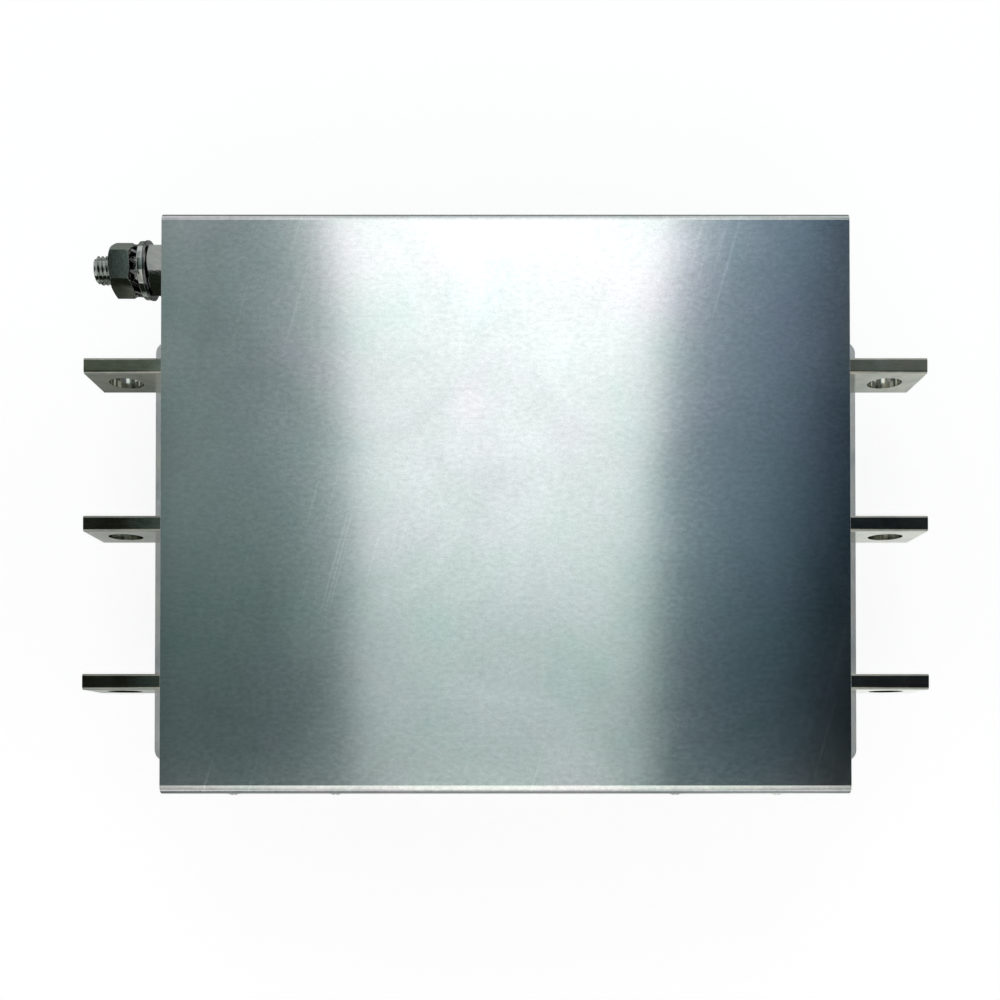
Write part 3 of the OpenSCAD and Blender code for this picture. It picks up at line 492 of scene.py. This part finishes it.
# %% Finishes of the sheet metal
cover_sheet = metal("cover_sheet_finish", (0.65, 0.67, 0.67), (0.60, 0.66, 0.65), (0.69, 0.67, 0.70), 0.125,
                    0.012, stretch=(0.6, 1.0, 1.0), grain=700.0, grit=0.4, mottle=0.18, bump=0.05, depth=0.00003,
                    clouds=16.0, cloud_strength=0.10, specks=420.0, speck_strength=0.35, scratch=0.02,
                    scratch_tone=0.10, scratch_scale=80.0, turn=-1.3, drift=34.0)
chassis_sheet = metal("chassis_sheet_finish", (0.70, 0.71, 0.72), (0.64, 0.67, 0.70), (0.74, 0.73, 0.70), 0.42,
                      0.05, stretch=(1.0, 0.4, 0.4), grit=0.6, mottle=0.12, bump=0.25, clouds=40.0,
                      cloud_strength=0.10, specks=300.0, scratch=0.1, drift=60.0)
print("finishes:", cover_sheet.name, chassis_sheet.name)

# %% [markdown]
# The terminals are flat copper bars, tinned so that they don't tarnish. Tin is softer and warmer than steel: it
# scuffs along the bar, and it looks greasy rather than bright. The stud, its nuts and the thick washer are bright
# plated steel; the thin washer and the toothed one are given a dark steel colour.

# %% Finishes of the terminals and the stud
terminal_metal = metal("terminal_metal_finish", (0.50, 0.51, 0.46), (0.42, 0.46, 0.40), (0.58, 0.55, 0.47), 0.10,
                       0.03, stretch=(0.08, 1.0, 1.0), grain=1500.0, grit=0.35, mottle=0.15, bump=0.12,
                       clouds=110.0, cloud_strength=0.16, specks=700.0, speck_strength=0.5, scratch=0.1,
                       scratch_scale=110.0, turn=0.15, drift=120.0)
stud_metal = metal("stud_metal_finish", (0.54, 0.56, 0.54), (0.46, 0.51, 0.48), (0.60, 0.59, 0.55), 0.09, 0.02,
                   grain=1600.0, bump=0.12, clouds=160.0, cloud_strength=0.14, specks=900.0, scratch=0.1,
                   scratch_scale=160.0, turn=0.9, drift=150.0)
dark_washer = metal("dark_washer_finish", (0.20, 0.20, 0.20), (0.14, 0.15, 0.15), (0.26, 0.25, 0.24), 0.18, 0.04,
                    grain=1600.0, bump=0.2, clouds=170.0, cloud_strength=0.2, specks=900.0, drift=150.0)
screw_metal = metal("screw_metal_finish", (0.62, 0.62, 0.62), (0.55, 0.58, 0.60), (0.68, 0.66, 0.58), 0.24, 0.05,
                    grain=1800.0, bump=0.2, clouds=220.0, cloud_strength=0.14, specks=1100.0, drift=200.0)
print("finishes:", terminal_metal.name, stud_metal.name, dark_washer.name, screw_metal.name)

# %% [markdown]
# Two more metals are closed in by the case: brass for the posts that carry the circuit boards, and copper for the
# bracket that joins one of the boards to the earth bolt.

# %% Finishes of the brass and copper inside
post_brass = metal("post_brass_finish", (0.78, 0.62, 0.30), (0.70, 0.58, 0.30), (0.82, 0.62, 0.26), 0.26, 0.05,
                   stretch=(1.0, 1.0, 0.1), grain=1500.0, bump=0.3, clouds=160.0, drift=120.0)
bracket_copper = metal("bracket_copper_finish", (0.72, 0.43, 0.28), (0.62, 0.38, 0.27), (0.78, 0.44, 0.24), 0.30,
                       0.06, stretch=(1.0, 0.2, 1.0), grain=1200.0, bump=0.3, clouds=120.0, cloud_strength=0.16,
                       drift=90.0)
print("finishes:", post_brass.name, bracket_copper.name)

# %% [markdown]
# ## Plastic finishes
# Moulded plastic takes the fine spark-eroded grain of its mould, and a slight unevenness of gloss where it cooled
# at different speeds. The same groups serve again: the grain as height, the clouds as gloss.

# %% A plastic finish
def plastic(name, colour, cool, warm, rough, swing, grain=1400.0, bump=0.4, depth=0.00006, clouds=60.0,
            drift=90.0, coat=0.0):
    finish = bpy.data.materials.new(name)
    finish.use_nodes = True
    tree = finish.node_tree
    surface = tree.nodes["Principled BSDF"]
    place = add_node(tree, "TexCoord").outputs["Object"]
    mould = use_effect(tree, rolling_grain, {"Place": place, "Scale": grain, "Grit": 0.7})["Grain"]
    marks = use_effect(tree, handling_marks, {"Place": place, "Cloud Scale": clouds, "Speck Scale": 800.0})
    tint = use_effect(tree, colour_drift, {"Place": place, "Colour": (*colour, 1.0), "Cool": (*cool, 1.0),
                                           "Warm": (*warm, 1.0), "Scale": drift})["Colour"]
    tint = mix_colours(tree, calculate(tree, "MULTIPLY", marks["Specks"], 0.25), tint, (0.7, 0.7, 0.68, 1.0))
    tree.links.new(tint, surface.inputs["Base Color"])
    gloss = rescale(tree, marks["Clouds"], 0.0, 1.0, rough - swing, rough + swing)
    tree.links.new(gloss, surface.inputs["Roughness"])
    bumps = add_node(tree, "Bump", {"Strength": bump, "Distance": depth, "Height": mould})
    tree.links.new(bumps.outputs["Normal"], surface.inputs["Normal"])
    surface.inputs["Coat Weight"].default_value = coat
    return finish


insulator_plastic = plastic("insulator_plastic_finish", (0.05, 0.05, 0.055), (0.04, 0.045, 0.055),
                            (0.07, 0.065, 0.06), 0.46, 0.06)
carrier_plastic = plastic("carrier_plastic_finish", (0.80, 0.78, 0.70), (0.78, 0.78, 0.72), (0.82, 0.76, 0.64),
                          0.5, 0.06)
tray_plastic = plastic("tray_plastic_finish", (0.06, 0.07, 0.08), (0.05, 0.06, 0.08), (0.08, 0.08, 0.08), 0.42,
                       0.06)
capacitor_case = plastic("capacitor_case_finish", (0.78, 0.70, 0.42), (0.76, 0.71, 0.46), (0.80, 0.66, 0.34),
                         0.28, 0.05, bump=0.2)
earth_capacitor_case = plastic("earth_capacitor_case_finish", (0.16, 0.30, 0.58), (0.13, 0.28, 0.60),
                               (0.20, 0.33, 0.55), 0.22, 0.05, bump=0.15, coat=0.3)
resistor_coat = plastic("resistor_coat_finish", (0.45, 0.58, 0.66), (0.40, 0.57, 0.68), (0.50, 0.58, 0.60), 0.3,
                        0.05, bump=0.15, coat=0.2)
print("finishes:", insulator_plastic.name, capacitor_case.name)

# %% [markdown]
# A circuit board is glass cloth in green resin, and the weave shows faintly through it: two sets of fine waves
# at right angles, kept very shallow. A wound core is a long thin tape, so its face is a pack of layers; waves
# across the winding stand for them.

# %% Board and core finishes
def layered(name, colour, dark, directions, spacing, rough, metallic):
    finish = bpy.data.materials.new(name)
    finish.use_nodes = True
    tree = finish.node_tree
    surface = tree.nodes["Principled BSDF"]
    place = add_node(tree, "TexCoord").outputs["Object"]
    waves_per_unit = 0.31
    pattern = None
    for direction in directions:
        waves = add_node(tree, "TexWave", {"Vector": place, "Scale": waves_per_unit / spacing, "Distortion": 0.6,
                                           "Detail": 2.0}, bands_direction=direction).outputs["Fac"]
        pattern = waves if pattern is None else calculate(tree, "MULTIPLY", pattern, waves)
    marks = use_effect(tree, handling_marks, {"Place": place, "Cloud Scale": 50.0, "Speck Scale": 500.0})
    pattern = calculate(tree, "ADD", calculate(tree, "MULTIPLY", pattern, 0.7),
                        calculate(tree, "MULTIPLY", marks["Clouds"], 0.3))
    tree.links.new(mix_colours(tree, pattern, (*dark, 1.0), (*colour, 1.0)), surface.inputs["Base Color"])
    tree.links.new(rescale(tree, pattern, 0.0, 1.0, rough + 0.1, rough - 0.05), surface.inputs["Roughness"])
    bumps = add_node(tree, "Bump", {"Strength": 0.3, "Distance": 0.00005, "Height": pattern})
    tree.links.new(bumps.outputs["Normal"], surface.inputs["Normal"])
    surface.inputs["Metallic"].default_value = metallic
    return finish


board_laminate = layered("board_laminate_finish", (0.10, 0.28, 0.16), (0.07, 0.21, 0.11), "XY", 0.0006, 0.35, 0.0)
core_tape = layered("core_tape_finish", (0.36, 0.34, 0.33), (0.22, 0.21, 0.21), "X", 0.0004, 0.38, 1.0)
print("finishes:", board_laminate.name, core_tape.name)

# %% [markdown]
# ## Softened edges
# Nothing cut from metal has a perfectly sharp edge: sawing, punching and deburring leave a rim a fraction of a
# millimetre wide, and that rim catches the light as a thin line. The solid model has sharp edges, so each piece
# that is seen gets a copy. Its loose triangles are merged, flat areas are joined into whole faces, and the bevel
# operator rounds every edge that is sharper than 30 degrees. A weighted normal modifier then keeps the flats flat
# while the small rounds shade smoothly.

# %% A copy with softened edges
def merged_copy(name):
    shape = bmesh.new()
    shape.from_mesh(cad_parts[name].data)
    bmesh.ops.remove_doubles(shape, verts=shape.verts, dist=0.000001)
    bmesh.ops.dissolve_limit(shape, angle_limit=math.radians(0.5), verts=shape.verts, edges=shape.edges)
    return shape


def soften(shape, width, segments):
    sharp = math.radians(30.0)
    hard = [edge for edge in shape.edges if len(edge.link_faces) == 2 and edge.calc_face_angle() > sharp]
    bmesh.ops.bevel(shape, geom=hard, offset=width, offset_type="OFFSET", segments=segments, profile=0.5,
                    affect="EDGES", clamp_overlap=True, material=-1)
    return len(hard)


def finish_piece(name, shape, finish, slot, *stands_for):
    piece = put_in_scene(name, shape)
    piece.data.materials.append(finish)
    piece.data.shade_smooth()
    piece.data.set_sharp_from_angle(angle=math.radians(50.0))
    weighted = piece.modifiers.new("flats_stay_flat", "WEIGHTED_NORMAL")
    weighted.keep_sharp = True
    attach(piece, "root")
    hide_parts(*stands_for)


def softened_piece(name, width, finish, slot, segments=2):
    shape = merged_copy(name)
    rims = soften(shape, width, segments)
    finish_piece("softened_" + name, shape, finish, slot, name)
    print(name, "has", rims, "softened edges")


print("edges can be softened")

# %% [markdown]
# ## The folded case
# The lid is one sheet folded down on two long sides, and its cut ends stand a hair proud of the end panels. The
# base is a second sheet with a mounting foot at each end. Guillotined sheet has a burr on one side and a rounded
# corner on the other; a rim of three tenths of a millimetre looks right from any side. Three segments make it
# rounder than the rims that follow, because the lid's edges are the longest of all.

# %% Lid, base and end panels
sheet_rim = 0.0003
softened_piece("top_cover", sheet_rim, cover_sheet, "cover_sheet", segments=3)
for name in ("base_plate", "end_panel_line", "end_panel_load"):
    softened_piece(name, sheet_rim, chassis_sheet, "chassis_sheet", segments=3)

# %% [markdown]
# ## Terminal insulators
# A black moulded plate with a window at each end lets the bars out of the case without touching it. Its edges get
# the same rim as the sheet, in two segments.

# %% Insulators
moulded_rim = 0.0003
for name in ("insulator_line", "insulator_load"):
    softened_piece(name, moulded_rim, insulator_plastic, "insulator_plastic")

# %% [markdown]
# ## The flat terminals
# Each bar is extruded flat copper with round long edges, sawn to length, drilled and tinned. The round long edges
# are already in the solid. Only the saw cuts and the mouths of the holes are sharp, and they get a small rim.

# %% Busbars
bar_rim = 0.0003
for name in ("busbar_l1", "busbar_l2", "busbar_l3"):
    softened_piece(name, bar_rim, terminal_metal, "terminal_metal")

# %% [markdown]
# ## The earth stud
# A bolt comes out of the case, and a jam nut locks it to the panel. Between that nut and the outer one lie a thin
# dark washer, a thick one and a toothed lock washer, ready for the earth lead's ring. The nuts and washers keep
# their solid shapes with softened rims.

# %% Nuts and washers
nut_rim, thick_rim, tooth_rim = 0.00015, 0.00025, 0.0001
softened_piece("earth_jam_nut", nut_rim, stud_metal, "stud_metal")
softened_piece("earth_nut", nut_rim, stud_metal, "stud_metal")
softened_piece("earth_washer_thin", nut_rim, dark_washer, "dark_washer")
softened_piece("earth_washer_thick", thick_rim, stud_metal, "stud_metal")
softened_piece("earth_lock_washer", tooth_rim, dark_washer, "dark_washer")

# %% [markdown]
# The free end of the bolt shows its thread, so it gets a real one: ten millimetres across, with a crest every 1.5
# millimetres and 0.6134 of that pitch deep. One turn of the thread's outline, root, flank, crest, flank, root, is
# a short open line. The spin operator turns it about the bolt's axis and moves it on by one pitch a turn, which
# sweeps out the whole helix. The ends of the sweep are cut square with bisect_plane, and the points near the tip
# are drawn in to the cone of the lead-in chamfer.

# %% A real thread on the free end
def cut_off(shape, x, direction):
    bmesh.ops.bisect_plane(shape, geom=shape.verts[:] + shape.edges[:] + shape.faces[:], dist=0.000001,
                           plane_co=(x, 0.0, 0.0), plane_no=(direction, 0.0, 0.0), clear_outer=True)


def close_ends(shape):
    open_rim = [edge for edge in shape.edges if len(edge.link_faces) == 1]
    bmesh.ops.holes_fill(shape, edges=open_rim, sides=0)


stud_low, stud_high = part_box("earth_bolt")
nut_low, nut_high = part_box("earth_nut")
axis_y, axis_z = (nut_low.y + nut_high.y) / 2, (nut_low.z + nut_high.z) / 2
inside_nut = 0.0012
tip_x, cut_x = stud_low.x, nut_low.x + inside_nut
pitch, major, tip_radius = 0.0015, 0.0050, 0.0040
minor, shoulder = major - 0.6134 * pitch, major - 0.00003
start_x = tip_x - 1.5 * pitch
outline = [(share * pitch, radius) for share, radius in (
    (0.0, minor), (0.0625, minor), (0.4375, shoulder), (0.5, major), (0.5625, shoulder), (0.9375, minor),
    (1.0, minor))]
turns, steps = 7, 48

thread = bmesh.new()
line = [thread.verts.new((start_x + x, axis_y, axis_z + radius)) for x, radius in outline]
edges = [thread.edges.new(pair) for pair in zip(line[:-1], line[1:])]
bmesh.ops.spin(thread, geom=line + edges, cent=(0.0, axis_y, axis_z), axis=(1.0, 0.0, 0.0),
               dvec=(pitch / steps, 0.0, 0.0), angle=2 * math.pi * turns, steps=steps * turns, use_merge=False)
bmesh.ops.remove_doubles(thread, verts=thread.verts, dist=0.00001)
cut_off(thread, tip_x, -1.0)
cut_off(thread, cut_x, 1.0)
for point in thread.verts:
    out = Vector((0.0, point.co.y - axis_y, point.co.z - axis_z))
    limit = tip_radius + (point.co.x - tip_x)
    if out.length > limit:
        point.co = Vector((point.co.x, axis_y, axis_z)) + out.normalized() * limit
close_ends(thread)
bmesh.ops.recalc_face_normals(thread, faces=thread.faces)
print("threaded tip:", len(thread.faces), "faces,", round(1000 * (cut_x - tip_x), 2), "mm long")

# %% [markdown]
# The threaded tip and the plain rest become one piece. The copy of the bolt loses everything in front of the cut,
# which lies inside the nut, and then takes in the thread's faces.

# %% The rest of the bolt
shank = merged_copy("earth_bolt")
cut_off(shank, cut_x, -1.0)
close_ends(shank)
tip_mesh = bpy.data.meshes.new("threaded_tip")
thread.to_mesh(tip_mesh)
thread.free()
shank.from_mesh(tip_mesh)
bpy.data.meshes.remove(tip_mesh)
finish_piece("threaded_bolt", shank, stud_metal, "stud_metal", "earth_bolt")
print("bolt is", round(1000 * (stud_high.x - stud_low.x), 1), "mm long")

# %% [markdown]
# ## Screws and rivets on the outside
# The lid, the insulators, the base and the clamps over the cores are held by small fasteners. Their heads get
# narrower rims.

# %% Screws and rivets
head_rim = 0.00012
for name in ("cover_screws", "insulator_screws", "base_rivets", "clamp_screws"):
    softened_piece(name, head_rim, screw_metal, "screw_metal")

# %% [markdown]
# ## The pieces inside
# The cores, capacitors, boards and brackets are closed in by the case. Their solids are right as they are, so
# each keeps its own mesh and only gets its finish, by the name of its family.

# %% Finishes for the pieces inside
inside = (("bar_carrier", carrier_plastic), ("choke_core", core_tape), ("core_tray", tray_plastic),
          ("core_lid", tray_plastic), ("core_cradle", carrier_plastic), ("core_clamp", chassis_sheet),
          ("capacitor_board", board_laminate), ("x_capacitor", capacitor_case),
          ("y_capacitor", earth_capacitor_case), ("discharge_resistor", resistor_coat),
          ("board_posts", post_brass), ("board_screws", screw_metal), ("earth_bracket_rivet", post_brass),
          ("earth_bracket", bracket_copper))
dressed = 0
for name, solid in sorted(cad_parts.items()):
    for family, finish in inside:
        if name.startswith(family):
            for place in solid.material_slots:
                place.material = finish
            dressed += 1
            break
print(dressed, "pieces inside have their finish")
